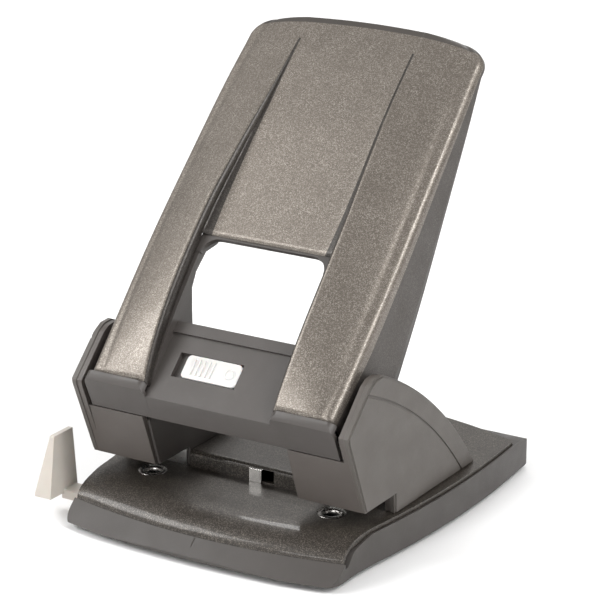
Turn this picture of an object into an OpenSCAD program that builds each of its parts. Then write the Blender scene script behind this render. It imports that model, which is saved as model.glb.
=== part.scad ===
// Heavy-duty two-hole desk punch: a metal punching table on a plastic base, two punching heads that hold a
// steel frame, punch pin, spring and die each, and a broad sheet-metal lever on a common axle.
// Pieces are drawn in the punching frame: X from the centre line between the two holes, Y back from the
// line through the holes, Z up from the surface that the feet stand on. placed() moves them into the
// part's own frame, whose origin is on that surface under the middle of the whole part.

/* [Punching] */
// Distance between the centres of the two punched holes
hole_spacing = 80; // [79.5:0.1:80.5]
// Diameter of a punched hole
hole_d = 6; // [5.5:0.1:6.2]
// Distance from the hole centres back to the paper stop
stop_depth = 11; // [11:0.5:12]
// Height of the paper slot under each punching head
slot_h = 7.5; // [7:0.1:7.6]

/* [Base] */
// Width of the base at its widest
base_w = 132.4; // [130:0.2:136]
// Depth of the base in front of the hole centres
base_front = 37; // [36:0.5:40]
// Depth of the base behind the hole centres
base_rear = 120.5; // [118:0.5:124]
// Height of the punching table above the surface that the feet stand on
table_z = 16.5; // [16.5:0.1:17.5]
// Height of the rubber feet under the base
foot_h = 2.5; // [2:0.1:3]

/* [Lever] */
// Angle of the raised lever's face above the horizontal
lever_angle = 44; // [42:0.5:44]
// Angle that the lever turns through when it is pressed right down
lever_travel = 40; // [38:0.5:40]
// Length of the lever's face
lever_len = 160; // [150:1:165]
// Width of the lever's face
lever_w = 107.6; // [106:0.1:108]

/* [Paper guide] */
// Distance from the centre line to the outer face of the guide's flag
guide_reach = 75.5; // [74:0.5:80]

/* [Hidden] */
$fn = 48;

// Colours
plastic = "#4a4642";
sparkle = "#857d74";
steel = "#b9bbbd";
spring_steel = "#8b8d90";
guide_white = "#e9e7e2";
rubber = "#2a2826";

// The part's own frame
half_w = base_w / 2;
centre_x = (guide_reach - half_w) / 2;
middle_y = (base_rear - base_front) / 2;

// Base outline: bowed front, sides and rear with rounded corners
bulge_y = 62;
waist_y = -10;
side_bow = 840;
front_bow = 880;
front_round = 246;
front_centre = front_round - 31;
rear_bow = 1500;
table_rear_r = 180;
front_r = 7.5;
rear_r = 8.5;
front_corner = [52.5, front_r - base_front + 3.4];
rear_corner = [half_w - 11.1, base_rear - 10.6];

// Base heights
wall = 2.2;
floor_t = 1.8;
rim_z = table_z - 1.6;
plate_t = 1.8;
plate_gap = 1.1;
table_rear = 112;
plate_skirt = 3.6;
front_roll_y = 17;
front_drop = 7.4;
lip_run = 6.2;
hump_h = 6.5;
hump_half = 30;
hump_rear = 62;
hump_slope = 20;

// Chip hatch in the base's floor
hatch_half = 46;
hatch_front = -8;
hatch_rear = 31.5;
hatch_gap = 0.4;
hinge_r = 1.25;
hinge_y = 28.5;
hinge_z = foot_h + 2.6;
lug_x = 30;
lug_half = 3;

// Punching heads, measured from the centre line or from a punch pin
pin_x = hole_spacing / 2;
pin_r = hole_d / 2;
running = 0.05;
die_r = 5.5;
slot_top = table_z + slot_h;
cheek_t = 1.8;
cheek_in = pin_x - 8;
cheek_out = pin_x + 8.2;
panel_in = pin_x - 9.7;
panel_t = 1.4;
shell_in = pin_x - 8.2;
shell_out = 58.4;
shell_wall = 2.2;
cover_t = 2.5;
bridge_z = slot_top + 2;
bridge_h = 10;
bush_r = 5;
head_front = -9.8;
head_lean = [-8.2, 21.9];
cover_r = 181;
cover_centre = [-72.5, table_z - 107.6];
cover_rear = 75.5;

// Lever: its own frame has Y along the face and Z out of it
lever_foot = [-21.6, table_z + 45.3];
pivot = [-1, -12];
pivot_y = lever_foot[0] + pivot[0] * cos(lever_angle) - pivot[1] * sin(lever_angle);
pivot_z = lever_foot[1] + pivot[0] * sin(lever_angle) + pivot[1] * cos(lever_angle);
axle_r = 2.5;
eye_r = 4.3;
press_arm = 14.5;
press_r = 3.5;
press_angle = lever_travel / 2;
sheet = 1.2;
leg_in = 27.4;
skirt_r = 3;
crown_h = 8.8;
panel_start = 62;
groove_end = 146;
panel_dip = 6.5;

// Pin: the head stands just under the press pin
pin_top = pivot_z + press_arm * sin(press_angle) - press_r - 0.3;
pin_tip = slot_top + 1;
pin_head_h = 2.5;
pin_head_r = 4;
spring_wire = 0.8;
spring_mean = pin_r + 0.3 + spring_wire / 2;
spring_turns = 5;

// Lock slider
slider_x = -17;
slider_l = 24;
slider_w = 9.6;
slider_s = 11;
slider_travel = 3.5;
bar_face = -3.7;
bar_t = 3;
lock_n = -9;

// Paper guide
bar_y = -15.5;
bar_w = 8.6;
bar_z = table_z - 11;
bar_h = 3.8;
bar_inner = 26;
guide_gap = 0.3;

// Moves a piece from the punching frame into the part's own frame
module placed() { translate([centre_x, -middle_y, 0]) children(); }

// Draws a right-hand piece on the side asked for, 1 for right and -1 for left
module on_side(side) { if (side > 0) children(); else mirror([1, 0, 0]) children(); }

// Moves a piece from the lever's own frame into the punching frame
module on_lever() { translate([0, lever_foot[0], lever_foot[1]]) rotate([lever_angle, 0, 0]) children(); }

// Extrudes a side view, drawn as [y, z], from x1 to x2
module side_slab(x1, x2) {
    translate([x1, 0, 0]) rotate([90, 0, 90]) linear_extrude(height = x2 - x1) children();
}

// A round bar along X from x1 to x2 at [y, z]
module cross_bar(x1, x2, at, r) { translate([x1, at[0], at[1]]) rotate([0, 90, 0]) cylinder(h = x2 - x1, r = r); }

function arc(c, r, a1, a2, n) = [for (i = [0:n]) let (a = a1 + (a2 - a1) * i / n) c + r * [cos(a), sin(a)]];
function flipped(pts) = [for (i = [len(pts) - 1:-1:0]) [-pts[i][0], pts[i][1]]];
function side_x(y) = half_w - pow(max(y, waist_y) - bulge_y, 2) / side_bow;

// Right half of the base's outline, inset by g, from the front round to the rear
function base_half_outline(g) = concat(
    [for (x = [0:10.6:53]) [x, pow(x, 2) / front_bow - base_front + g]],
    arc(front_corner, front_r - g, -70, 0, 6),
    [for (y = [-14:12:106]) [side_x(y) - g, y]],
    arc(rear_corner, rear_r - g, 6, 86, 6),
    [for (x = [50:-10:0]) [x, base_rear - g - pow(x, 2) / rear_bow]]
);

module base_outline(g) {
    half = base_half_outline(g);
    polygon(concat(half, [for (p = flipped(half)) if (abs(p[0]) > 0.01) p]));
}

// The table's outline: the base's, inset by g, with a rounder rear edge
module table_outline(g) {
    intersection() {
        base_outline(g);
        translate([0, table_rear - g - table_rear_r]) circle(r = table_rear_r, $fn = 240);
    }
}

// Turns a side view, drawn as [y, z] points, into a bowed front: its edges follow circles across the base
module bowed(points) {
    translate([0, front_centre, 0]) rotate_extrude($fn = 360) polygon([for (p = points) [front_centre - p[0], p[1]]]);
}

// Everything under the sloping front lip, the rim and the sloping rear, moved in by d
module under_lip(d) {
    lip_y = -base_front + lip_run + d;
    lip_z = table_z - front_drop - plate_t;
    intersection() {
        bowed([
            [-base_front - 2.5, -1], [-base_front - 2.5, foot_h - 1 - d], [lip_y, lip_z + plate_t - d],
            [lip_y, lip_z - d], [lip_y + 1.6, lip_z - d], [lip_y + 6, rim_z - 2.9 - d],
            [lip_y + 16.8, rim_z - d], [front_centre, rim_z - d], [front_centre, -1]
        ]);
        side_slab(-half_w - 1, half_w + 1) polygon([
            [-base_front - 3, -1], [-base_front - 3, rim_z], [table_rear - 8 - d, rim_z],
            [table_rear - d, rim_z - 1.6], [base_rear - 3 - d, rim_z - 5.2], [base_rear + 1 - d, rim_z - 8.6],
            [base_rear + 1 - d, -1]
        ]);
    }
}

boss_points = [[50.5, -9], [-50.5, -9], [48, 90], [-48, 90]];
foot_points = [[53.5, 6], [-53.5, 6], [53, 104], [-53, 104]];
frame_screw_y = [24, 52];

module base_tray() placed() color(plastic) {
    difference() {
        union() {
            difference() {
                intersection() {
                    translate([0, 0, foot_h]) linear_extrude(height = rim_z - foot_h) base_outline(0);
                    under_lip(0);
                }
                intersection() {
                    translate([0, 0, foot_h + floor_t]) linear_extrude(height = rim_z) base_outline(wall);
                    under_lip(floor_t);
                }
                // room for the table's own skirt
                translate([0, 0, table_z - plate_skirt - 0.3])
                    linear_extrude(height = plate_skirt + 1) table_outline(plate_gap - 0.3);
            }
            for (p = boss_points) translate([p[0], p[1], foot_h]) cylinder(h = table_z - plate_t - 0.2 - foot_h, r = 4);
            // channel that carries the guide's bar
            translate([-half_w + 8, bar_y - bar_w / 2, foot_h + floor_t / 2])
                cube([half_w + bar_inner - 6, bar_w + guide_gap + 0.2, bar_z - guide_gap - foot_h - floor_t / 2]);
            translate([-half_w + 8, bar_y + bar_w / 2 + guide_gap, foot_h + floor_t / 2])
                cube([half_w + bar_inner - 6, 1.4, 8]);
            translate([-half_w + 16, bar_y - bar_w / 2 - guide_gap - 2.6, foot_h + floor_t / 2])
                cube([half_w + bar_inner - 14, 1.2, 5]);
        }
        for (p = boss_points) translate([p[0], p[1], foot_h - 1]) {
            cylinder(h = 20, r = 1.6);
            cylinder(h = 3.5, r = 3.2);
        }
        // way out for the guide's bar
        translate([-half_w - 1, bar_y - bar_w / 2 - guide_gap, bar_z - guide_gap])
            cube([half_w - 30, bar_w + 2 * guide_gap, bar_h + 2 * guide_gap]);
        // opening for the chip hatch, with room for its hinge
        translate([-hatch_half - hatch_gap, hatch_front - hatch_gap, 0])
            cube([2 * (hatch_half + hatch_gap), hatch_rear - hatch_front + hatch_gap, foot_h + floor_t + 0.2]);
    }
    // snap lugs that hold the hatch's hinge rod
    for (s = [-1, 1]) difference() {
        union() {
            cross_bar(s * lug_x - lug_half, s * lug_x + lug_half, [hinge_y, hinge_z], hinge_r + 1.25);
            translate([s * lug_x - lug_half, hinge_y + hinge_r + 0.5, foot_h]) cube([2 * lug_half, 4, 4]);
        }
        cross_bar(s * lug_x - 4, s * lug_x + 4, [hinge_y, hinge_z], hinge_r + running);
        translate([s * lug_x - 4, hinge_y - 0.95, hinge_z]) cube([8, 1.9, 4]);
    }
}

module chip_hatch() placed() color(plastic) {
    difference() {
        union() {
            translate([-hatch_half, hatch_front, foot_h]) cube([2 * hatch_half, hinge_y - hatch_front, floor_t]);
            translate([-hatch_half, hinge_y - 1.2, foot_h]) cube([2 * hatch_half, 1.2, hinge_z - foot_h]);
            for (x = [-hatch_half + 2:10:hatch_half - 6])
                translate([x, hatch_front + 3, foot_h + floor_t - 0.1]) cube([0.8, 24, 0.7]);
        }
        // finger scoop on the outer face, and notches round the hinge lugs
        translate([0, hatch_front + 1, foot_h - 5.3]) cylinder(h = 6, r = 9);
        for (s = [-1, 1]) translate([s * lug_x - lug_half - 0.5, hinge_y - 3, 0]) cube([2 * lug_half + 1, 6, 12]);
    }
    cross_bar(-hatch_half, hatch_half, [hinge_y, hinge_z], hinge_r);
}

module rubber_feet() placed() color(rubber) for (p = foot_points) translate([p[0], p[1], 0]) {
    cylinder(h = foot_h, r1 = 5.2, r2 = 5.8);
}

module tray_screws() placed() color(steel) for (p = boss_points) translate([p[0], p[1], foot_h]) difference() {
    union() {
        cylinder(h = 2.2, r = 3);
        cylinder(h = 11.5, r = 1.55);
    }
    translate([-2, -0.4, -0.1]) cube([4, 0.8, 1.1]);
    translate([-0.4, -2, -0.1]) cube([0.8, 4, 1.1]);
}

module frame_screws() placed() color(steel)
    for (s = [-1, 1], y = frame_screw_y) translate([s * pin_x, y, table_z - plate_t]) difference() {
        union() {
            translate([0, 0, -2]) cylinder(h = 2, r = 3.4);
            cylinder(h = plate_t + 2, r = 1.9);
        }
        translate([0, 0, -2.1]) cylinder(h = 1.3, r = 1.6, $fn = 6);
    }

// Everything under the table's upper face, lowered by d: flat, with a front that rolls down
module under_table(d) {
    roll_y = -base_front + lip_run + 0.15;
    bowed(concat(
        [[roll_y + d * 0.7, 0], [roll_y + d * 0.7, table_z - front_drop - d * 0.4]],
        [for (i = [1:8]) let (a = 90 * i / 8)
            [roll_y + d * 0.7 * cos(a) + front_roll_y * (1 - cos(a)),
             table_z - front_drop - d + front_drop * sin(a) + d * 0.6 * cos(a)]],
        [[front_centre, table_z - d], [front_centre, 0]]
    ));
}

// Side view of the raised middle of the table, whose front is the paper stop, lowered by d
module hump_profile(d) {
    top = table_z + hump_h - d;
    polygon(concat(
        [[stop_depth + d, table_z - 4]],
        arc([stop_depth + d + 2, top - 2], 2, 180, 90, 5),
        [[hump_rear, top], [hump_rear + hump_slope, table_z - d - 0.01], [hump_rear + hump_slope, table_z - 4]]
    ));
}

module base_plate() placed() color(sparkle) difference() {
    union() {
        intersection() {
            translate([0, 0, table_z - front_drop - plate_t + 0.15])
                linear_extrude(height = table_z) table_outline(plate_gap);
            difference() {
                under_table(0);
                under_table(plate_t);
            }
        }
        // skirt turned down round the sides and the rear
        difference() {
            intersection() {
                translate([0, 0, table_z - plate_skirt])
                    linear_extrude(height = plate_skirt - 0.2) table_outline(plate_gap);
                under_table(0);
            }
            linear_extrude(height = 30) table_outline(plate_gap + plate_t);
        }
        side_slab(-hump_half, hump_half) hump_profile(0);
    }
    side_slab(-hump_half + plate_t, hump_half - plate_t) hump_profile(plate_t);
    // the raised middle is open underneath
    translate([-hump_half + plate_t, stop_depth + plate_t, table_z - 5])
        cube([2 * (hump_half - plate_t), hump_rear - stop_depth, 4]);
    for (s = [-1, 1]) {
        translate([s * pin_x, 0, 0]) cylinder(h = 40, r = die_r);
        for (y = frame_screw_y) translate([s * pin_x, y, 0]) cylinder(h = 40, r = 1.95);
    }
    // window in the stop behind the centre tab
    translate([-2.8, stop_depth - 1, table_z + 0.6]) cube([10.8, 4, hump_h - 1.6]);
}

module centre_tab() placed() color(steel) {
    translate([-2.6, stop_depth - 0.9, table_z]) cube([5.4, 0.8, 5.4]);
    translate([-2.6, stop_depth - 0.9, table_z + 4.6]) cube([5.4, 3.2, 0.8]);
}

module die(side) placed() on_side(side) color(steel) translate([pin_x, 0, table_z - 4]) difference() {
    cylinder(h = 4.1, r = die_r);
    translate([0, 0, -1]) cylinder(h = 6, r = pin_r + running);
    translate([0, 0, 3.6]) cylinder(h = 1, r1 = pin_r + running, r2 = pin_r + 1.05);
}

// Side view of a frame's cheek
module cheek_outline() {
    difference() {
        union() {
            polygon([
                [head_front + 2.6, bridge_z], [stop_depth + 0.6, bridge_z], [stop_depth + 0.6, table_z],
                [60, table_z], [60, table_z + 4], [34, table_z + 21], [8, table_z + 32],
                [pivot_y + 1, pivot_z + 4.2], [pivot_y - 2, pivot_z - 5.4]
            ]);
            translate([pivot_y, pivot_z]) circle(r = eye_r);
        }
        translate([pivot_y, pivot_z]) circle(r = axle_r + 0.01);
    }
}

module lock_ear() {
    turn = lever_angle - lever_travel;
    reach = [slider_s - pivot[0], lock_n - pivot[1]];
    translate([pivot_y, pivot_z]) rotate(turn) translate(reach) difference() {
        union() {
            circle(r = 5);
            translate([-5, -9]) square([10, 9]);
        }
        translate([-3.3, -1.5]) square([6.6, 3]);
    }
}

module punch_frame(side) placed() on_side(side) color(steel) difference() {
    union() {
        side_slab(cheek_in, cheek_in + cheek_t) cheek_outline();
        if (side < 0) side_slab(cheek_in, cheek_in + cheek_t) lock_ear();
        side_slab(cheek_out, cheek_out + cheek_t) cheek_outline();
        translate([cheek_in + 1, head_front + 3.4, bridge_z]) cube([cheek_out - cheek_in, -2 * (head_front + 3.4), bridge_h]);
        translate([cheek_in + 1, stop_depth + 0.6, table_z]) cube([cheek_out - cheek_in, 60 - stop_depth - 0.6, 2]);
        translate([cheek_in + 1, stop_depth + 0.6, table_z]) cube([cheek_out - cheek_in, 2, 14]);
    }
    translate([pin_x, 0, 0]) cylinder(h = 80, r = bush_r);
    for (y = frame_screw_y) translate([pin_x, y, 0]) cylinder(h = 40, r = 1.95);
}

module guide_bush(side) placed() on_side(side) color(steel) translate([pin_x, 0, slot_top + 0.6]) difference() {
    cylinder(h = bridge_h + bridge_z - slot_top - 0.6, r = bush_r);
    translate([0, 0, -1]) cylinder(h = 40, r = pin_r + running);
}

module punch_pin(side) placed() on_side(side) color(steel) translate([pin_x, 0, 0]) difference() {
    union() {
        translate([0, 0, pin_tip]) cylinder(h = pin_top - pin_tip, r = pin_r);
        translate([0, 0, pin_top - pin_head_h]) cylinder(h = pin_head_h, r = pin_head_r);
    }
    // hollow-ground cutting end
    translate([0, 0, pin_tip - 1]) rotate([90, 0, 0]) cylinder(h = 10, r = 1.6, center = true);
}

// Ring of a round wire's section, for step i of n along the helix
function coil_ring(i, n, h) = let (a = 360 * spring_turns * i / n, sides = 8)
    [for (k = [0:sides - 1]) let (b = 360 * k / sides, r = spring_mean + spring_wire / 2 * cos(b))
        [r * cos(a), r * sin(a), spring_wire / 2 + (h - spring_wire) * i / n + spring_wire / 2 * sin(b)]];

module coil(h) {
    n = spring_turns * 12;
    sides = 8;
    rings = [for (i = [0:n]) coil_ring(i, n, h)];
    points = [for (r = rings) for (p = r) p];
    faces = concat(
        [for (i = [0:n - 1], k = [0:sides - 1]) let (m = (k + 1) % sides)
            [i * sides + k, (i + 1) * sides + m, (i + 1) * sides + k]],
        [for (i = [0:n - 1], k = [0:sides - 1]) let (m = (k + 1) % sides)
            [i * sides + k, i * sides + m, (i + 1) * sides + m]],
        [for (k = [1:sides - 2]) [0, k + 1, k]],
        [for (k = [1:sides - 2]) [n * sides, n * sides + k, n * sides + k + 1]]
    );
    polyhedron(points = points, faces = faces, convexity = 10);
}

module pin_spring(side) placed() on_side(side) color(spring_steel)
    translate([pin_x, 0, bridge_z + bridge_h + 0.05]) coil(pin_top - pin_head_h - bridge_z - bridge_h - 0.1);

// Side view of a punching head: leaning front, lever notch along the top, bowed rear, paper slot at the foot
module head_outline(g) {
    intersection() {
        polygon([
            [head_front + g * 0.4, slot_top + g], [head_front - 12.8 + g, table_z + 38.6],
            [head_front - 13 + g, table_z + 40.4], [-7.4, table_z + 55.8 - g * 1.4],
            [-4, table_z + 57.6 - g * 1.4], [0, table_z + 57.8 - g * 1.2], [40, table_z + 60],
            [cover_rear, table_z + 40], [cover_rear - g, table_z + 0.2 + g * 0.4],
            [stop_depth + 0.3 + g, table_z + 0.2 + g * 0.4], [stop_depth + g, slot_top + g]
        ]);
        translate(cover_centre) circle(r = cover_r - g, $fn = 240);
    }
}

module head_shell(side) placed() on_side(side) color(plastic) difference() {
    union() {
        // leaning front
        side_slab(shell_in, shell_out) polygon([
            [head_front, slot_top], [head_front + head_lean[0], slot_top + head_lean[1]],
            [head_front + head_lean[0] + shell_wall, slot_top + head_lean[1]], [head_front + shell_wall, slot_top]
        ]);
        // underside over the paper slot
        translate([shell_in, head_front + 0.2, slot_top]) cube([shell_out - shell_in, stop_depth - head_front, 1.7]);
        side_slab(shell_out - shell_wall, shell_out) head_outline(0.4);
        // tie to the frame's outer cheek
        translate([cheek_out + cheek_t, 30, table_z + 0.3]) cube([shell_out - cheek_out - cheek_t, 10, 5]);
    }
    translate([pin_x, 0, 0]) cylinder(h = 80, r = bush_r + 0.3);
}

module side_cover(side) placed() on_side(side) color(plastic) difference() {
    union() {
        side_slab(shell_out, shell_out + cover_t - 0.7) head_outline(0);
        side_slab(shell_out, shell_out + cover_t) head_outline(0.7);
    }
    // line that follows the bowed rear edge
    translate([shell_out + cover_t - 0.5, cover_centre[0], cover_centre[1]]) rotate([0, 90, 0]) difference() {
        cylinder(h = 2, r = cover_r - 8.1, $fn = 240);
        translate([0, 0, -1]) cylinder(h = 4, r = cover_r - 8.9, $fn = 240);
    }
}

module inner_panel(side) placed() on_side(side) color(plastic) side_slab(panel_in, panel_in + panel_t) polygon([
    [head_front + 1.2, slot_top], [stop_depth + 0.4, slot_top], [stop_depth + 0.4, table_z + 0.1],
    [64, table_z + 0.1], [64, table_z + 3], [36, table_z + 19], [8, table_z + 29], [-9, table_z + 31],
    [head_front - 5.6, slot_top + 19.6]
]);

module lever_axle() placed() color(steel) difference() {
    cross_bar(-cheek_out - cheek_t - 1.4, cheek_out + cheek_t + 1.4, [pivot_y, pivot_z], axle_r);
    for (s = [-1, 1]) translate([s * (cheek_out + cheek_t + 0.55), pivot_y, pivot_z]) rotate([0, 90, 0]) difference() {
        cylinder(h = 0.7, r = 4, center = true);
        cylinder(h = 1, r = 2.1, center = true);
    }
}

module axle_circlips() placed() color(spring_steel) for (s = [-1, 1])
    translate([s * (cheek_out + cheek_t + 0.55), pivot_y, pivot_z]) rotate([0, 90, 0]) difference() {
        cylinder(h = 0.6, r = 4.4, center = true);
        cylinder(h = 1, r = 2.12, center = true);
        rotate(70) translate([0, -1.3, -1]) cube([6, 2.6, 2]);
    }

// Lever face: height of the crest of the legs, of the outer edges, and of the dished middle panel at s
function crest(s) = crown_h * pow(max(sin(180 * s / 170), 0), 0.6);
function edge(s) = 2.4 * sin(180 * s / 170);
function panel_n(s) = crest(s) - panel_dip * pow(max(groove_end - s, 0) / (groove_end - panel_start), 1.3) + 0.4;
function lever_half(s) = lever_w / 2 - max(0, s - 70) * 0.03
    - (s > lever_len - 10 ? 9 * (1 - sqrt(max(0, 1 - pow((s - lever_len + 10) / 10.4, 2)))) : 0);
function skirt(s) = min(3 + 0.235 * max(150 - s, 0), 14 + 0.55 * s);
function top_bow(x, s) = 3 * (1 - pow(x / (lever_w / 2), 2)) * pow(s / lever_len, 8);

function dip(s) = max(crest(s) - panel_n(s), 0.3);
function has_panel(s) = s >= panel_start;

// Section of a leg at s, as [x, n] points from the skirt's rear edge over the face to the inner edge, inset by g
function leg_section(s, g) = let (
    w = lever_half(s), e = edge(s), c = crest(s), slope = atan2(c - e, w - leg_in - 3),
    d = has_panel(s) ? min(2, dip(s) - 0.1) : 2,
    upright = has_panel(s) ? min(1, dip(s) / 2.5) : 1,
    wall_n = has_panel(s) ? c - max(d, dip(s) - 1.2) : c - 4
) concat(
    [[w - g, min(-skirt(s), e - skirt_r - 1)]],
    [for (i = [0:4]) let (a = i * (90 - slope) / 4)
        [w - skirt_r + (skirt_r - g) * cos(a), e - skirt_r + (skirt_r - g) * sin(a)]],
    [for (t = [0.25, 0.5, 0.75]) [w - (w - leg_in - 2) * t, e - g + (c - e) * t]],
    [for (i = [0:3]) let (a = 90 - slope + i * (90 + slope) / 3)
        [leg_in + 2 + (2 - g * upright) * cos(a), c - d + d * sin(a) - g * (upright * sin(a) + 1 - upright)]],
    [[leg_in + g * upright, wall_n - 0.05 - g * (1 - upright)]]
);

// Section of the middle panel at s, from its right edge to its left
function panel_section(s, g) = [for (i = [-4:4])
    [-i / 4 * (leg_in - 1.2), crest(s) - dip(s) + (i == -4 || i == 4 ? 0.05 : 0) - g]];

leg_rows = 7;
lever_stations = concat(
    [for (i = [0:leg_rows]) panel_start * i / leg_rows],
    [for (i = [1:8]) panel_start + (lever_len - 10 - panel_start) * i / 8],
    [for (a = [25, 50, 75, 90]) lever_len - 10 + 10 * sin(a)]
);

function lever_grid(g) = [for (s = lever_stations)
    let (leg = leg_section(s, g)) [for (p = concat(leg, panel_section(s, g), flipped(leg))) [p[0], s + top_bow(p[0], s), p[1]]]];

// Closed thin sheet from matching outer and inner grids, without the squares that window(i, j) leaves out
module thick_sheet(outer, inner, window_rows, window_from, window_to) {
    rows = len(outer);
    cols = len(outer[0]);
    count = rows * cols;
    points = concat([for (r = outer) for (p = r) p], [for (r = inner) for (p = r) p]);
    function there(i, j) = i >= 0 && j >= 0 && i < rows - 1 && j < cols - 1
        && !(i < window_rows && j >= window_from && j < window_to);
    function wall(p, q) = [[p, q, q + count], [p, q + count, p + count]];
    squares = [for (i = [0:rows - 2], j = [0:cols - 2]) if (there(i, j)) [i, j, i * cols + j]];
    polyhedron(points = points, convexity = 8, faces = [for (q = squares) let (
        a = q[2], b = a + cols, c = b + 1, d = a + 1) for (f = concat(
            [[a, d, c], [a, c, b], [a + count, b + count, c + count], [a + count, c + count, d + count]],
            there(q[0], q[1] - 1) ? [] : wall(a, b),
            there(q[0] + 1, q[1]) ? [] : wall(b, c),
            there(q[0], q[1] + 1) ? [] : wall(c, d),
            there(q[0] - 1, q[1]) ? [] : wall(d, a)
        )) f]);
}

module lever_shell() placed() on_lever() color(sparkle) {
    leg_cols = len(leg_section(0, 0));
    thick_sheet(lever_grid(0), lever_grid(sheet), leg_rows, leg_cols - 1, leg_cols + 9);
}

// Top of the liner's wall inside a leg, which stays under the metal
function liner_top(s) = s < panel_start - 2 ? crest(s) - 4.4 : crest(s) - dip(s) - sheet - 0.4;

// Side view of the liner's front, as [s, n]: a nose and a straight face down to the rounded lower edge
module nose_outline(nose, back) { polygon(concat(nose, [[-8.2, -13.5], [-7.2, -14], [-6.8, -13.9]], back)); }

// The shoe that closes the lower end of a leg, with rounded upper corners
module leg_shoe() {
    outer = lever_w / 2 + 0.6;
    intersection() {
        side_slab(leg_in, outer)
            nose_outline([[-0.1, 0.4], [-1.6, 0.3], [-3.6, -0.9], [-4.6, -3.8]], [[-3.2, -4.4], [-2.6, -2.2], [-0.1, -2.2]]);
        translate([0, 1, 0]) rotate([90, 0, 0]) linear_extrude(height = 12) polygon(concat(
            [[leg_in - 1, -20], [outer + 1, -20]], arc([outer - 3.6, -3.2], 3.6, 0, 90, 6),
            arc([leg_in + 3.6, -3.2], 3.6, 90, 180, 6), [[leg_in - 1, -3.2]]
        ));
    }
}

module lever_liner() placed() on_lever() color(plastic) difference() {
    union() {
        // crossbar between the legs, its rear ledge and its nose
        translate([-leg_in + 0.1, -3.4, bar_face - bar_t]) cube([2 * leg_in - 0.2, 31, bar_t]);
        translate([-leg_in - 1, 2, bar_face - bar_t]) cube([2 * leg_in + 2, 25.6, bar_t]);
        translate([-leg_in - 1, 23.2, bar_face - bar_t]) cube([2 * leg_in + 2, 4.6, bar_t + 1.2]);
        side_slab(-leg_in - 0.6, leg_in + 0.6)
            nose_outline([[-0.1, bar_face], [-4.2, bar_face], [-4.8, bar_face - 0.8]], [[-4.2, -6.7], [-0.1, -6.7]]);
        for (side = [1, -1]) on_side(side) {
            leg_shoe();
            // wall inside the leg, deep beside the crossbar and shallow at the window's top
            side_slab(leg_in, leg_in + 2) polygon(concat(
                [[-6.8, -13.8], [-1.8, -4.8]],
                [for (i = [0:20]) [5 * i, liner_top(5 * i)]],
                [[100, -6.5], [74, -8.6], [63, -5], [57, -0.5], [48, 0], [42, -2], [36, -8], [30, -14.5], [18, -15.5],
                 [12, -12], [5, -6.7], [-2, -6.7]]
            ));
        }
        // back of the grip
        side_slab(-47, 47) polygon([[73, -7.2], [73, -9.2], [146, -4.4], [146, -2.4]]);
    }
    // pocket for the slider and the slot for its stem
    translate([-20.8, slider_s - 5.1, bar_face - 2]) cube([27.8, 10.2, 3]);
    translate([-15, slider_s - 2.4, bar_face - bar_t - 1]) cube([15.6, 4.8, 3]);
    // ways through for the lock bar and the axle
    translate([-leg_in - 4, slider_s - 3, lock_n - 1.4]) cube([6, 6, 2.8]);
    cross_bar(-60, 60, pivot, axle_r + 0.4);
}

// Side view of a lever arm's cheek, as [s, n]
module arm_outline() {
    difference() {
        union() {
            translate(pivot) circle(r = eye_r);
            polygon([[-4, -8.6], [3, -4], [14, -0.2], [90, 1.6], [90, -4], [40, -10], [18, -19.5], [12, -22.3], [-2, -16.6]]);
        }
        translate(pivot) circle(r = axle_r + running);
        translate(pivot) rotate(press_angle - lever_angle) translate([press_arm, 0]) circle(r = press_r + 0.02);
    }
}

module lever_arm(side) placed() on_side(side) on_lever() color(steel) difference() {
    union() {
        side_slab(cheek_in + cheek_t + 0.4, pin_x - 4.6) arm_outline();
        side_slab(pin_x + 6.4, cheek_out - 0.4) arm_outline();
        side_slab(cheek_in + cheek_t + 0.5, cheek_out - 0.5) polygon([[16, -0.4], [90, 1.5], [90, 0.1], [16, -1.8]]);
    }
    for (s = [40, 76]) translate([pin_x + 1, s, -5]) cylinder(h = 10, r = 2);
}

module press_pin(side) placed() on_side(side) on_lever() color(steel)
    translate([0, pivot[0] + press_arm * cos(press_angle - lever_angle), pivot[1] + press_arm * sin(press_angle - lever_angle)])
        cross_bar(cheek_in + cheek_t + 0.4, cheek_out - 0.4, [0, 0], press_r);

module lever_rivets() placed() on_lever() color(steel) for (side = [1, -1], s = [40, 76])
    translate([side * (pin_x + 1), s, -3]) {
        cylinder(h = 3 + edge(s) + (crest(s) - edge(s)) * 0.4 - sheet - 0.2, r = 1.9);
        cylinder(h = 1.4, r = 3.2);
    }

module lock_slider() placed() on_lever() color(guide_white) {
    translate([slider_x, slider_s - slider_w / 2, bar_face - 1.8]) cube([slider_l, slider_w, 2.2]);
    for (i = [0:4]) translate([slider_x + 3 + 2.1 * i, slider_s - 3.6, bar_face + 0.3]) cube([0.9, 7.2, 0.7]);
    translate([-11, slider_s - 1.8, lock_n + 0.7]) cube([8, 3.6, bar_face - 1.7 - lock_n - 0.7]);
}

module lock_bar() placed() on_lever() color(steel) {
    translate([-30.2, slider_s - 2.5, lock_n - 0.8]) cube([34, 5, 1.5]);
}

module slider_detent() placed() on_lever() color(spring_steel) {
    translate([5.4, slider_s - 2, lock_n - 0.8]) cube([14, 4, 0.5]);
    translate([16, slider_s - 2, lock_n - 0.5]) cube([3.4, 4, bar_face - bar_t - lock_n + 0.5]);
}

module paper_guide() placed() color(guide_white) {
    flag_in = -guide_reach + 7.5;
    translate([flag_in - 1, bar_y - bar_w / 2, bar_z]) cube([-flag_in + 1 + bar_inner, bar_w, bar_h]);
    // flag that tapers up from its foot
    hull() {
        translate([-guide_reach, -28.2, table_z - 8.6]) cube([7.5, 17.8, 1.2]);
        translate([flag_in - 2, -24.8, table_z + 15.4]) cube([2, 12.2, 0.8]);
    }
}

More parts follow.
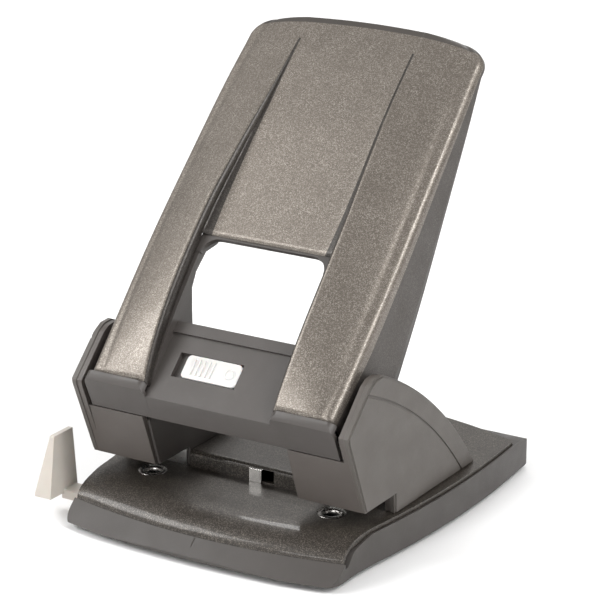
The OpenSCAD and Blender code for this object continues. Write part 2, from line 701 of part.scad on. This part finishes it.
module guide_clip() placed() color(spring_steel) {
    translate([-47, bar_y - bar_w / 2 - 1.4, foot_h + floor_t + 0.1]) cube([12, 0.5, 2.6]);
    translate([-43, bar_y - bar_w / 2 - 1, foot_h + floor_t + 0.1]) cube([4, 0.9, 2.6]);
}

base_tray();
base_plate();
chip_hatch();
rubber_feet();
tray_screws();
frame_screws();
centre_tab();
die(-1);  // die_left
die(1);  // die_right
punch_frame(-1);  // punch_frame_left
punch_frame(1);  // punch_frame_right
guide_bush(-1);  // guide_bush_left
guide_bush(1);  // guide_bush_right
punch_pin(-1);  // punch_pin_left
punch_pin(1);  // punch_pin_right
pin_spring(-1);  // pin_spring_left
pin_spring(1);  // pin_spring_right
head_shell(-1);  // head_shell_left
head_shell(1);  // head_shell_right
side_cover(-1);  // side_cover_left
side_cover(1);  // side_cover_right
inner_panel(-1);  // inner_panel_left
inner_panel(1);  // inner_panel_right
lever_axle();
axle_circlips();
lever_shell();
lever_liner();
lever_arm(-1);  // lever_arm_left
lever_arm(1);  // lever_arm_right
press_pin(-1);  // press_pin_left
press_pin(1);  // press_pin_right
lever_rivets();
lock_slider();
lock_bar();
slider_detent();
paper_guide();
guide_clip();
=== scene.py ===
"""Looks for a heavy-duty two-hole punch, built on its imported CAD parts.

Lengths are in millimetres in the punching frame: X right from the middle between the holes, Y back from
the line through the holes, Z up from the table. seat() and lever_seat() turn them into metres in the part's
own frame.
"""

import math

import bmesh
import bpy
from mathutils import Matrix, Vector


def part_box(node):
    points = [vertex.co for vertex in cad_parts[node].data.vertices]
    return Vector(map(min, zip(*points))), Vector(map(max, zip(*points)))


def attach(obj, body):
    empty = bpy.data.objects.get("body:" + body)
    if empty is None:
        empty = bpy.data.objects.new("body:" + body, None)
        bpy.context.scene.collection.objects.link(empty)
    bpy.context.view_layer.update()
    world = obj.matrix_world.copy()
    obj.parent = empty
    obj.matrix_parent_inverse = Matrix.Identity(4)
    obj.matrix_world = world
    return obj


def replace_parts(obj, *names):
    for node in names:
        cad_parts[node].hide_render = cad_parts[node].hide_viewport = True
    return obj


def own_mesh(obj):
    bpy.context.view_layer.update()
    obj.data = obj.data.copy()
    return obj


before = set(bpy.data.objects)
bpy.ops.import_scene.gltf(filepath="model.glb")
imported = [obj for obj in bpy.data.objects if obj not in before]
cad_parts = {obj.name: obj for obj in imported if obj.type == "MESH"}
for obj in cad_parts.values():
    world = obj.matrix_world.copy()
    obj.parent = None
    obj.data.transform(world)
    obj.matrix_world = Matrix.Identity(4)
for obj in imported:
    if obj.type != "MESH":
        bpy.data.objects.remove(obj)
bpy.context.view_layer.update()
MM = 0.001

# Where the punching frame sits in the part's own frame: the dies stand this proud of the table
DIE_PROUD = 0.1
low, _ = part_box("die_left")
_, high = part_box("die_right")
TABLE = Vector(((low.x + high.x) / 2, (low.y + high.y) / 2, high.z - DIE_PROUD * MM))

# Lever: its face starts at this point and rises at this angle. Its length is measured from there, and so are
# the start of the panel above the window and the end of the grooves beside the panel
LEVER_FOOT = Vector((0, -21.6, 45.3))
LEVER_ANGLE = math.radians(44)
LEVER_LEN = 160
LEVER_HALF = 53
PANEL_START = 62
GROOVE_END = 150

# Thickness of its metal, radius of its top corners, depth of the band along its top edge painted dark as
# shade, and bow of its top edge
SHEET = 1.2
CORNER_R = 7.5
RIM_DEPTH = 2.4
TOP_BOW = 3.0

# Beside the window: height of a leg's inner wall, and reach of the ledge at the foot of it
LEG_WALL = 4.6
LEG_LEDGE = 4.0


def seat(x, y, z):
    return TABLE + Vector((x, y, z)) * MM


def lever_seat(x, s, n):
    """Point x across, s along and n above the lever's face at rest."""
    c, d = math.cos(LEVER_ANGLE), math.sin(LEVER_ANGLE)
    return seat(x, LEVER_FOOT.y + s * c - n * d, LEVER_FOOT.z + s * d + n * c)


def curve_through(pairs):
    """A smooth function through (position, value) pairs, flat beyond the ends."""
    xs = [p[0] for p in pairs]
    ys = [p[1] for p in pairs]
    slopes = [0.0] * len(xs)
    for i in range(1, len(xs) - 1):
        slopes[i] = (ys[i + 1] - ys[i - 1]) / (xs[i + 1] - xs[i - 1])
    slopes[0] = (ys[1] - ys[0]) / (xs[1] - xs[0])
    slopes[-1] = (ys[-1] - ys[-2]) / (xs[-1] - xs[-2])

    def value(x):
        if x <= xs[0]:
            return ys[0]
        if x >= xs[-1]:
            return ys[-1]
        i = max(k for k in range(len(xs) - 1) if xs[k] <= x)
        h = xs[i + 1] - xs[i]
        t = (x - xs[i]) / h
        return (
            (2 * t**3 - 3 * t**2 + 1) * ys[i]
            + (t**3 - 2 * t**2 + t) * h * slopes[i]
            + (3 * t**2 - 2 * t**3) * ys[i + 1]
            + (t**3 - t**2) * h * slopes[i + 1]
        )

    return value


# ---------------------------------------------------------------- materials


class Look:
    """A material under construction: short calls for the nodes that the finishes below share."""

    def __init__(self, name):
        self.material = bpy.data.materials.new(name)
        self.material.use_nodes = True
        self.nodes = self.material.node_tree.nodes
        self.links = self.material.node_tree.links
        self.nodes.clear()
        out = self.nodes.new("ShaderNodeOutputMaterial")
        self.shader = self.nodes.new("ShaderNodeBsdfPrincipled")
        self.links.new(self.shader.outputs[0], out.inputs[0])
        self.where = self.nodes.new("ShaderNodeTexCoord").outputs["Object"]

    def set(self, **values):
        """Sets or links the shader's inputs, whose names are written with _ for each space."""
        for name, value in values.items():
            socket = self.shader.inputs[name.replace("_", " ")]
            if isinstance(value, bpy.types.NodeSocket):
                self.links.new(value, socket)
            else:
                socket.default_value = value

    def noise(self, size, detail=2.0, stretch=(1, 1, 1), rough=0.5):
        """Noise with features about size mm across, squeezed along the axes by stretch."""
        node = self.nodes.new("ShaderNodeTexNoise")
        node.inputs["Scale"].default_value = 1 / (size * MM)
        node.inputs["Detail"].default_value = detail
        node.inputs["Roughness"].default_value = rough
        place = self.nodes.new("ShaderNodeMapping")
        place.inputs["Scale"].default_value = stretch
        self.links.new(self.where, place.inputs["Vector"])
        self.links.new(place.outputs[0], node.inputs["Vector"])
        return node.outputs["Fac"]

    def cells(self, size):
        """A random grey for each cell about size mm across."""
        node = self.nodes.new("ShaderNodeTexVoronoi")
        node.inputs["Scale"].default_value = 1 / (size * MM)
        self.links.new(self.where, node.inputs["Vector"])
        split = self.nodes.new("ShaderNodeSeparateColor")
        self.links.new(node.outputs["Color"], split.inputs[0])
        return split.outputs[0]

    def ramp(self, fac, *stops):
        """Maps fac through (position, value or colour) stops."""
        node = self.nodes.new("ShaderNodeValToRGB")
        self.links.new(fac, node.inputs[0])
        ramp = node.color_ramp
        while len(ramp.elements) < len(stops):
            ramp.elements.new(0.5)
        for element, (at, value) in zip(ramp.elements, stops):
            element.position = at
            element.color = (*value, 1) if isinstance(value, tuple) else (value, value, value, 1)
        return node.outputs[0]

    def mix(self, fac, a, b):
        """Colour a where fac is 0 and b where it is 1."""
        node = self.nodes.new("ShaderNodeMix")
        node.data_type = "RGBA"
        for socket, value in zip((node.inputs[0], node.inputs[6], node.inputs[7]), (fac, a, b)):
            if isinstance(value, bpy.types.NodeSocket):
                self.links.new(value, socket)
            else:
                socket.default_value = (*value, 1)
        return node.outputs[2]

    def bump(self, height, depth, normal=None):
        """Bump from a height map, depth mm deep, on top of an earlier normal if one is given."""
        node = self.nodes.new("ShaderNodeBump")
        node.inputs["Distance"].default_value = depth * MM
        self.links.new(height, node.inputs["Height"])
        if normal:
            self.links.new(normal, node.inputs["Normal"])
        return node.outputs[0]


def scaled(colour, factor):
    """The same colour, darker or lighter."""
    return tuple(c * factor for c in colour)


def moulded_plastic(name, colour, rough):
    """Dark plastic with a fine moulded grain, soft mottling and a little pale dust."""
    look = Look(name)
    mottle = 0.12
    base = look.mix(look.noise(14, 3), scaled(colour, 1 - mottle), scaled(colour, 1 + mottle))
    dust = look.ramp(look.noise(2.2, 6, rough=0.65), (0.55, 0.0), (0.8, 0.12))
    dusty = look.mix(dust, base, tuple(c * 1.5 + 0.03 for c in colour))
    grain = look.bump(look.noise(0.28, 2), 0.05)
    look.set(
        Base_Color=dusty,
        Roughness=look.ramp(look.noise(9, 4), (0.3, rough - 0.05), (0.7, rough + 0.06)),
        Normal=look.bump(look.noise(30, 1), 0.12, grain),
        Specular_IOR_Level=0.5,
    )
    return look.material


FLAKE_SIZE = 0.26


def metallic_paint(name, colour, flake, rough, coat, metal, coat_rough=0.14):
    """Paint with fine metal flakes under a clear coat: each cell is a flake with its own shade."""
    look = Look(name)
    shade = look.cells(FLAKE_SIZE)
    grains = look.ramp(shade, (0.0, scaled(colour, 0.72)), (0.6, colour), (0.97, flake))
    cloud = look.ramp(look.noise(7, 4), (0.3, 0.0), (0.7, 0.4))
    look.set(
        Base_Color=look.mix(cloud, grains, scaled(colour, 0.86)),
        Metallic=metal,
        Roughness=look.ramp(look.noise(12, 3), (0.3, rough - 0.04), (0.7, rough + 0.05)),
        Coat_Weight=coat,
        Coat_Roughness=look.ramp(look.noise(18, 3), (0.3, coat_rough * 0.7), (0.75, coat_rough * 1.4)),
    )
    orange_peel = look.bump(look.noise(0.5, 2), 0.02)
    look.set(Normal=look.bump(shade, 0.006, orange_peel))
    return look.material


def ground_metal(name, colour, rough, stretch=(1, 1, 1)):
    """Bare or plated metal with fine tool lines and faint stains."""
    look = Look(name)
    lines = look.noise(0.8, 3, stretch)
    stain = look.noise(6, 4)
    look.set(
        Base_Color=look.mix(stain, scaled(colour, 0.8), colour),
        Metallic=1.0,
        Roughness=look.ramp(lines, (0.3, rough - 0.06), (0.7, rough + 0.08)),
        Normal=look.bump(lines, 0.01),
    )
    return look.material


def worn_rubber(name):
    """Nearly black rubber, dull and slightly uneven."""
    look = Look(name)
    look.set(
        Base_Color=look.mix(look.noise(3, 4), (0.018, 0.017, 0.016), (0.035, 0.033, 0.031)),
        Roughness=look.ramp(look.noise(1.5, 3), (0.3, 0.7), (0.7, 0.9)),
        Normal=look.bump(look.noise(0.4, 2), 0.05),
    )
    return look.material


def smooth_plastic(name, dark, light, rough=0.3):
    """Pale plastic that lets a little light in, between two close shades."""
    look = Look(name)
    look.set(
        Base_Color=look.mix(look.noise(9, 3), dark, light),
        Roughness=look.ramp(look.noise(5, 3), (0.3, rough), (0.7, rough + 0.12)),
        Subsurface_Weight=0.12,
        Subsurface_Scale=1.5 * MM,
        Normal=look.bump(look.noise(0.6, 2), 0.012),
    )
    return look.material


DARK = moulded_plastic("dark_plastic", (0.078, 0.067, 0.06), 0.42)
TRAY = moulded_plastic("tray_plastic", (0.052, 0.046, 0.042), 0.48)
COVER = moulded_plastic("cover_plastic", (0.08, 0.071, 0.063), 0.48)
LINER = moulded_plastic("liner_plastic", (0.056, 0.049, 0.045), 0.45)
TABLE_PAINT = metallic_paint("table_paint", (0.034, 0.028, 0.023), (0.15, 0.132, 0.11), 0.4, 0.25, 0.3,
                             coat_rough=0.04)
LEVER_PAINT = metallic_paint("lever_paint", (0.165, 0.143, 0.121), (0.35, 0.32, 0.285), 0.44, 0.15, 0.6)
# A darker copy of the lever's paint: painted shade on its side walls
SKIRT_SHADE_PAINT = metallic_paint("skirt_shade_paint", (0.066, 0.057, 0.051), (0.11, 0.098, 0.088), 0.5, 0.1, 0.4)
# A darker copy again: painted shade in the grooves between the legs and the panel
GROOVE_SHADE_PAINT = metallic_paint("groove_shade_paint", (0.034, 0.029, 0.025), (0.09, 0.08, 0.07), 0.45, 0.1, 0.4)
# Dark plastic: painted shade on the band along the lever's top edge, and the colour of the centre mark on
# the front lip
RIM_SHADE_AND_MARK = moulded_plastic("rim_shade_and_mark_plastic", (0.05, 0.044, 0.039), 0.35)
BRIGHT = ground_metal("bright_steel", (0.78, 0.76, 0.73), 0.16)
TOOL = ground_metal("tool_steel", (0.5, 0.48, 0.46), 0.26, (1, 1, 6))
ZINC = ground_metal("zinc_plate", (0.56, 0.56, 0.55), 0.33)
SPRING = ground_metal("spring_wire", (0.42, 0.42, 0.43), 0.28)
RUBBER = worn_rubber("foot_rubber")
WHITE = smooth_plastic("slider_white", (0.6, 0.59, 0.575), (0.66, 0.65, 0.635))
BEIGE = smooth_plastic("guide_beige", (0.47, 0.43, 0.385), (0.56, 0.52, 0.47), 0.35)

# The CAD nodes that stay in view, by finish
FINISHES = {
    DARK: ["head_shell_left", "head_shell_right"],
    TRAY: ["base_tray", "chip_hatch"],
    COVER: ["side_cover_left", "side_cover_right"],
    LINER: ["lever_liner", "inner_panel_left", "inner_panel_right"],
    TABLE_PAINT: ["base_plate"],
    BRIGHT: ["centre_tab", "lever_axle"],
    TOOL: ["die_left", "die_right", "guide_bush_left", "guide_bush_right",
           "punch_pin_left", "punch_pin_right", "press_pin_left", "press_pin_right"],
    ZINC: ["punch_frame_left", "punch_frame_right", "lever_arm_left", "lever_arm_right", "lock_bar",
           "lever_rivets", "frame_screws", "tray_screws"],
    SPRING: ["axle_circlips", "slider_detent", "guide_clip"],
    RUBBER: ["rubber_feet"],
    BEIGE: ["paper_guide"],
}

# Edge radius of the nodes that are rounded, in mm
ROUNDING = {
    "base_tray": 0.5, "base_plate": 0.35, "chip_hatch": 0.4, "rubber_feet": 0.3, "centre_tab": 0.15,
    "head_shell_left": 0.7, "head_shell_right": 0.7, "side_cover_left": 0.5, "side_cover_right": 0.5,
    "inner_panel_left": 0.4, "inner_panel_right": 0.4, "lever_liner": 0.8, "paper_guide": 0.6,
    "punch_frame_left": 0.25, "punch_frame_right": 0.25, "lever_arm_left": 0.2, "lever_arm_right": 0.2,
}


def finish_node(node, paint):
    """Paints a CAD node, rounds its edges and smooths its shading."""
    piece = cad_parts[node]
    piece.data.materials.clear()
    piece.data.materials.append(paint)
    weld = piece.modifiers.new("weld", "WELD")
    weld.merge_threshold = 0.002 * MM
    radius = ROUNDING.get(node, 0)
    if radius:
        bevel = piece.modifiers.new("bevel", "BEVEL")
        bevel.width = radius * MM
        bevel.segments = 3
        bevel.limit_method = "ANGLE"
        bevel.angle_limit = math.radians(32)
        even = piece.modifiers.new("even", "WEIGHTED_NORMAL")
        even.weight = 100
    piece.data.shade_smooth()


for paint, nodes in FINISHES.items():
    for node in nodes:
        finish_node(node, paint)


# ---------------------------------------------------------------- new pieces


def add_mesh(name, made, body, paint):
    """Links a bmesh as a named piece that rides on a body."""
    bmesh.ops.recalc_face_normals(made, faces=made.faces)
    mesh = bpy.data.meshes.new(name)
    made.to_mesh(mesh)
    made.free()
    mesh.materials.append(paint)
    mesh.shade_smooth()
    piece = bpy.data.objects.new(name, mesh)
    bpy.context.scene.collection.objects.link(piece)
    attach(piece, body)
    return piece


# Curves along the lever, by distance from its foot.
# Height of the face's crest and of its outer edge
crest = curve_through([
    (0, 0), (6, 1.9), (17, 4.5), (30, 6.6), (45, 7.9), (62, 8.8), (80, 9.2), (105, 8.8), (125, 7.6),
    (145, 6.0), (LEVER_LEN, 4.4),
])
edge = curve_through([(0, -0.2), (20, 0.1), (60, 1.2), (100, 1.8), (130, 1.9), (LEVER_LEN, 1.2)])
# Half width, and distance of the groove from the centre line
half_width = curve_through([(0, 52.6), (20, 53.2), (60, 53.8), (100, 53.2), (130, 52.6), (150, 51.8)])
groove_x = curve_through([
    (0, 27.4), (17, 28.3), (45, 28.9), (75, 28.6), (95, 27.4), (120, 25.9), (150, 25.4),
])
# Depth of the panel below the legs, and reach of the fillet beside it
dip = curve_through([(PANEL_START, 4.5), (80, 4.3), (100, 3.4), (120, 1.9), (138, 0.6), (148, 0.0)])
fillet = curve_through([(PANEL_START, 8.0), (80, 6.0), (100, 3.6), (120, 2.2), (148, 1.4)])


def corner_cut(s):
    """How far the rounded top corners draw the outline in at s."""
    over = max(0.0, s - (LEVER_LEN - CORNER_R))
    return CORNER_R - math.sqrt(max(0.0, CORNER_R**2 - over**2))


def skirt(s):
    """Depth of the lever's side wall at s: it grows towards the foot, and is cut off obliquely there."""
    return min(2.6 + 0.24 * max(0.0, 152 - s), 14 + 0.55 * s)


# Points across half of the lever's section, from its outside to its centre line
SIDE_POINTS = 9
ROLL_POINTS = 9
FACE_POINTS = 23
DROP_POINTS = 5
FILLET_POINTS = 8
PANEL_POINTS = 10
LEG_POINTS = SIDE_POINTS + ROLL_POINTS + FACE_POINTS + ROLL_POINTS + DROP_POINTS

# Strips of faces along the lever painted darker as shade, counted in from either edge: the side wall, and
# the groove from high on the rolled inner edge to the start of the fillet
SKIRT_STRIPS = SIDE_POINTS - 1
GROOVE_STRIPS = range(LEG_POINTS - ROLL_POINTS - DROP_POINTS + 3, LEG_POINTS + 3)
PAINTS = [LEVER_PAINT, RIM_SHADE_AND_MARK, SKIRT_SHADE_PAINT, GROOVE_SHADE_PAINT]


def lever_half_section(s):
    """Right half of the lever's section at s as (x, n), from the side wall's lower edge to the middle."""
    w = half_width(s) - corner_cut(s)
    e, c, g = edge(s), crest(s), groove_x(s)
    has_panel = s >= PANEL_START
    deep = dip(s) if has_panel else LEG_WALL
    reach = fillet(s) if has_panel else LEG_LEDGE
    fillet_rise = 0.9 if has_panel else 0.0
    outer_r = 3.0
    inner_r = 0.5 + 1.5 * min(1.0, deep / 2.5)
    slope = math.atan2(c - e, w - g - outer_r)
    top_a = math.pi / 2 - slope
    points = []
    # side wall, rolled outer edge
    bottom = min(-skirt(s), e - outer_r - 1.5)
    for i in range(SIDE_POINTS):
        points.append((w, bottom + (e - outer_r - bottom) * i / SIDE_POINTS))
    for i in range(ROLL_POINTS):
        a = i / (ROLL_POINTS - 1) * top_a
        points.append((w - outer_r + outer_r * math.cos(a), e - outer_r + outer_r * math.sin(a)))
    # face, slightly crowned, with a shallow hollow beside the rolled edge
    start = points[-1]
    end = (g + inner_r + inner_r * math.cos(top_a), c - inner_r + inner_r * math.sin(top_a))
    for i in range(1, FACE_POINTS + 1):
        t = (i / (FACE_POINTS + 1)) ** 1.5
        crown = 0.55 * math.sin(math.pi * t)
        hollow = 0.3 * math.exp(-((t - 0.1) / 0.06) ** 2)
        x = start[0] + (end[0] - start[0]) * t
        n = start[1] + (end[1] - start[1]) * t
        points.append((x, n + crown - hollow))
    # rolled inner edge, then the wall down to the panel or to the leg's own edge
    drop = min(inner_r, deep)
    for i in range(ROLL_POINTS):
        a = top_a + i / (ROLL_POINTS - 1) * (math.pi - top_a)
        points.append((g + inner_r + inner_r * math.cos(a), c - drop + drop * math.sin(a)))
    wall_end = c - max(deep - fillet_rise, drop)
    for i in range(1, DROP_POINTS + 1):
        points.append((g, c - drop + (wall_end - c + drop) * i / DROP_POINTS))
    # fillet and dished panel
    floor = c - deep
    for i in range(1, FILLET_POINTS + 1):
        t = i / FILLET_POINTS
        points.append((g - reach * t, floor + (wall_end - floor) * (1 - t) ** 2.2))
    for i in range(1, PANEL_POINTS + 1):
        t = i / PANEL_POINTS
        points.append(((g - reach) * (1 - t), floor + 0.25 * (1 - (1 - t) ** 2)))
    return points


def lever_rows():
    """Distances from the foot at which the section is taken, closer together round the top corners."""
    leg, panel, top = 30, 42, 20
    straight = LEVER_LEN - CORNER_R
    rows = [PANEL_START * i / leg for i in range(leg + 1)]
    rows += [PANEL_START + (straight - PANEL_START) * i / panel for i in range(1, panel + 1)]
    rows += [straight + CORNER_R * math.sin(math.pi / 2 * i / top) for i in range(1, top + 1)]
    return rows


def lever_paint(s, strip, last):
    """Paint of the lever's face in one strip of the row at s: last is the number of the last strip."""
    # The top band, the side walls and the grooves get darker paints that stand in for shade
    if s > LEVER_LEN - RIM_DEPTH:
        return RIM_SHADE_AND_MARK
    strip = min(strip, last - strip)
    if strip < SKIRT_STRIPS:
        return SKIRT_SHADE_PAINT
    if s < GROOVE_END and strip in GROOVE_STRIPS:
        return GROOVE_SHADE_PAINT
    return LEVER_PAINT


def build_lever_cover():
    """Painted metal cover of the lever: two legs beside a window, and a dished panel above it."""
    rows = lever_rows()
    made = bmesh.new()
    grid = []
    for s in rows:
        half = lever_half_section(s)
        bow = TOP_BOW * (s / LEVER_LEN) ** 8
        grid.append([
            made.verts.new(lever_seat(x, s + bow * (1 - (x / LEVER_HALF) ** 2), n))
            for x, n in half + [(-x, n) for x, n in reversed(half[:-1])]
        ])
    last = len(grid[0]) - 2
    for s, row, above in zip(rows, grid, grid[1:]):
        for j in range(last + 1):
            in_window = s < PANEL_START and LEG_POINTS - 1 <= j <= last + 1 - LEG_POINTS
            if not in_window:
                square = made.faces.new((row[j], row[j + 1], above[j + 1], above[j]))
                square.material_index = PAINTS.index(lever_paint(s, j, last))
    for vert in [v for v in made.verts if not v.link_faces]:
        made.verts.remove(vert)
    piece = add_mesh("lever_cover", made, "lever", LEVER_PAINT)
    for paint in PAINTS[1:]:
        piece.data.materials.append(paint)
    thick = piece.modifiers.new("sheet", "SOLIDIFY")
    thick.thickness = SHEET * MM
    thick.offset = -1
    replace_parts(piece, "lever_shell")


def join_rings(made, first, second):
    """Closes the band between two rings of as many points."""
    count = len(first)
    for i in range(count):
        j = (i + 1) % count
        made.faces.new((first[i], first[j], second[j], second[i]))


def prism(made, outline, place, low, high, rounding=0.0, steps=4):
    """Adds a slab to a bmesh: an outline of (u, v) points from height low to high, its top edge rounded."""
    levels = [(low, 0.0)]
    for i in range(steps + 1):
        a = math.pi / 2 * i / steps
        levels.append((high - rounding * (1 - math.sin(a)), rounding * (1 - math.cos(a))))
    count = len(outline)
    centre = Vector((sum(p[0] for p in outline) / count, sum(p[1] for p in outline) / count))
    rings = []
    for height, inset in levels:
        ring = []
        for p in outline:
            away = Vector(p) - centre
            spot = centre + away * (1 - inset / max(away.length, 0.01))
            ring.append(made.verts.new(place(*spot, height)))
        rings.append(ring)
    for lower, upper in zip(rings, rings[1:]):
        join_rings(made, lower, upper)
    made.faces.new(rings[-1])
    made.faces.new(list(reversed(rings[0])))


def round_rect(x1, x2, y1, y2, r, steps=6):
    """Outline of a rectangle from x1 to x2 and y1 to y2 with corners of radius r."""
    corners = ((x2 - r, y2 - r, 0), (x1 + r, y2 - r, 90), (x1 + r, y1 + r, 180), (x2 - r, y1 + r, 270))
    points = []
    for cx, cy, start in corners:
        for i in range(steps + 1):
            a = math.radians(start + 90 * i / steps)
            points.append((cx + r * math.cos(a), cy + r * math.sin(a)))
    return points


def add_ring(made, x, s, n, radius, wire):
    """Adds a raised ring to a bmesh, on a surface at height n of the lever's frame."""
    count, sides = 32, 8
    rows = []
    for i in range(count):
        a = 2 * math.pi * i / count
        row = []
        for k in range(sides):
            b = 2 * math.pi * k / sides
            r = radius + wire * math.cos(b)
            spot = lever_seat(x + r * math.cos(a), s + r * math.sin(a), n + wire * math.sin(b))
            row.append(made.verts.new(spot))
        rows.append(row)
    for i in range(count):
        join_rings(made, rows[i], rows[(i + 1) % count])


def build_slider_block():
    """White lock slider: rounded block, five thin ribs, a raised ring and a stem."""
    left, right, middle, top = -17, 7, 11, -3.2
    half_block, half_rib, half_stem = 4.8, 3.4, 1.8
    rib_start, rib_width, rib_pitch = -13.4, 0.8, 2.1
    stem_left, stem_right = -11, -3
    made = bmesh.new()
    block = round_rect(left, right, middle - half_block, middle + half_block, 1.8)
    prism(made, block, lever_seat, top - 2.3, top, 0.6)
    for i in range(5):
        x = rib_start + rib_pitch * i
        rib = round_rect(x, x + rib_width, middle - half_rib, middle + half_rib, 0.38, 3)
        prism(made, rib, lever_seat, top - 0.1, top + 0.45, 0.2, 2)
    add_ring(made, 3.2, middle, top + 0.05, 1.9, 0.28)
    stem = [
        (stem_left, middle - half_stem), (stem_right, middle - half_stem),
        (stem_right, middle + half_stem), (stem_left, middle + half_stem),
    ]
    prism(made, stem, lever_seat, top - 5.1, top - 2.2)
    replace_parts(add_mesh("slider_block", made, "lock", WHITE), "lock_slider")


def build_window_edge():
    """Dark lip under the panel's lower edge, with rounded corners towards the legs."""
    r, half, overlap, ledge, inset, steps = 6.5, 29.3, 2, 0.9, 2.4, 8
    top, thickness = 3.9, 2.0
    corner_s = PANEL_START - ledge - r
    outline = [(-half, PANEL_START + overlap), (-half, corner_s)]
    for i in range(steps + 1):
        a = math.radians(180 - 90 * i / steps)
        outline.append((-half + inset + r + r * math.cos(a), corner_s + r * math.sin(a)))
    outline += [(-x, s) for x, s in reversed(outline[1:])]
    outline += [(half, PANEL_START + overlap)]
    made = bmesh.new()
    upper = [made.verts.new(lever_seat(x, s, top)) for x, s in outline]
    lower = [made.verts.new(lever_seat(x, s, top - thickness)) for x, s in outline]
    made.faces.new(upper)
    made.faces.new(list(reversed(lower)))
    join_rings(made, lower, upper)
    add_mesh("window_edge", made, "lever", LINER).data.shade_flat()


def build_centre_mark():
    """Fine dark line down the upper half of the front lip, at the middle of the punch."""
    bottom, top = Vector((0, -39.5, -15)), Vector((0, -30.8, -7.4))
    half_line, start, end = 0.2, 0.3, 4.2
    slope = (top - bottom).normalized()
    out = Vector((0, -slope.z, slope.y))
    made = bmesh.new()

    def on_lip(x, along, up):
        spot = top - slope * along + out * up
        return seat(x, spot.y, spot.z)

    prism(made, round_rect(-half_line, half_line, start, end, 0.19, 3), on_lip, -0.6, 0.06)
    add_mesh("centre_mark", made, "base", RIM_SHADE_AND_MARK)


def build_spring(side, sign):
    """Coil spring round a punch pin, wound the way of sign."""
    low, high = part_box("pin_spring_" + side)
    middle = Vector(((low.x + high.x) / 2, (low.y + high.y) / 2, low.z))
    wire, turns = 0.4, 5
    sides, steps = 10, 110
    mean = (high.x - low.x) / MM / 2 - wire
    height = (high.z - low.z) / MM
    made = bmesh.new()
    rings = []
    for i in range(steps + 1):
        a = sign * 2 * math.pi * turns * i / steps
        centre = wire + (height - 2 * wire) * i / steps
        ring = []
        for k in range(sides):
            b = 2 * math.pi * k / sides
            r = mean + wire * math.cos(b)
            spot = Vector((r * math.cos(a), r * math.sin(a), centre + wire * math.sin(b)))
            ring.append(made.verts.new(middle + spot * MM))
        rings.append(ring)
    for first, second in zip(rings, rings[1:]):
        join_rings(made, first, second)
    made.faces.new(rings[0])
    made.faces.new(list(reversed(rings[-1])))
    piece = add_mesh("return_spring_" + side, made, "base", SPRING)
    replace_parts(piece, "pin_spring_" + side)
    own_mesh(piece)


build_spring("left", -1)
build_spring("right", 1)
build_lever_cover()
build_slider_block()
build_window_edge()
build_centre_mark()


# ---------------------------------------------------------------- studio


def build_floor():
    """White paper that the punch stands on."""
    made = bmesh.new()
    bmesh.ops.create_grid(made, x_segments=1, y_segments=1, size=4.0)
    mesh = bpy.data.meshes.new("floor")
    made.to_mesh(mesh)
    made.free()
    floor = bpy.data.objects.new("floor", mesh)
    look = Look("floor_paper")
    look.set(
        Base_Color=look.mix(look.noise(60, 2), (0.86, 0.86, 0.86), (0.88, 0.88, 0.88)),
        Roughness=0.9,
        Specular_IOR_Level=0.1,
    )
    mesh.materials.append(look.material)
    bpy.context.scene.collection.objects.link(floor)


def add_light(name, at, aim, size, power):
    """A soft rectangular light at a place, turned towards aim, both in metres."""
    data = bpy.data.lights.new(name, "AREA")
    data.shape = "RECTANGLE"
    data.size, data.size_y = size
    data.energy = power
    light = bpy.data.objects.new(name, data)
    light.location = at
    light.rotation_mode = "QUATERNION"
    light.rotation_quaternion = (Vector(aim) - Vector(at)).to_track_quat("-Z", "Y")
    bpy.context.scene.collection.objects.link(light)


def build_world():
    """Pale grey surroundings, slightly dimmer and warmer low down than above."""
    world = bpy.data.worlds.new("studio")
    bpy.context.scene.world = world
    world.use_nodes = True
    nodes, links = world.node_tree.nodes, world.node_tree.links
    split = nodes.new("ShaderNodeSeparateXYZ")
    links.new(nodes.new("ShaderNodeTexCoord").outputs["Generated"], split.inputs[0])
    fade = nodes.new("ShaderNodeValToRGB")
    links.new(split.outputs["Z"], fade.inputs[0])
    stops = ((0.0, (0.3, 0.295, 0.285, 1)), (0.6, (0.42, 0.415, 0.41, 1)))
    for element, (at, value) in zip(fade.color_ramp.elements, stops):
        element.position = at
        element.color = value
    links.new(fade.outputs[0], nodes["Background"].inputs[0])
    nodes["Background"].inputs[1].default_value = 1.0


def build_lights():
    """Name, place, aim, size and power in watts of each light."""
    add_light("key", (-1.1, -0.9, 1.0), (0, 0, 0.08), (1.1, 0.9), 24)
    add_light("strip", (0.95, -0.15, 0.85), (0, 0, 0.1), (0.14, 0.8), 12)
    add_light("front", (0.1, -1.5, 0.5), (0, -0.1, 0.05), (0.9, 0.25), 5)
    add_light("backdrop", (-0.8, 1.9, 2.3), (-0.6, 1.3, 0), (1.6, 1.0), 44)


def build_view():
    """Plain colours, without a film look."""
    view = bpy.context.scene.view_settings
    view.view_transform = "Standard"
    view.look = "None"


def build_camera():
    """Long lens, a metre away, from the front right and above."""
    azimuth, elevation, distance = math.radians(31.64), math.radians(18.55), 1015
    aim = Vector((14.25, 20, 72.6))
    flat = math.cos(elevation)
    back = Vector((math.sin(azimuth) * flat, -math.cos(azimuth) * flat, math.sin(elevation)))
    data = bpy.data.cameras.new("camera")
    data.lens = 163.8
    data.sensor_width = 36
    data.clip_start, data.clip_end = 0.05, 20
    camera = bpy.data.objects.new("camera", data)
    camera.location = seat(*(aim + back * distance))
    camera.rotation_mode = "QUATERNION"
    camera.rotation_quaternion = (-back).to_track_quat("-Z", "Y")
    bpy.context.scene.collection.objects.link(camera)
    bpy.context.scene.camera = camera


build_floor()
build_world()
build_lights()
build_view()
build_camera()
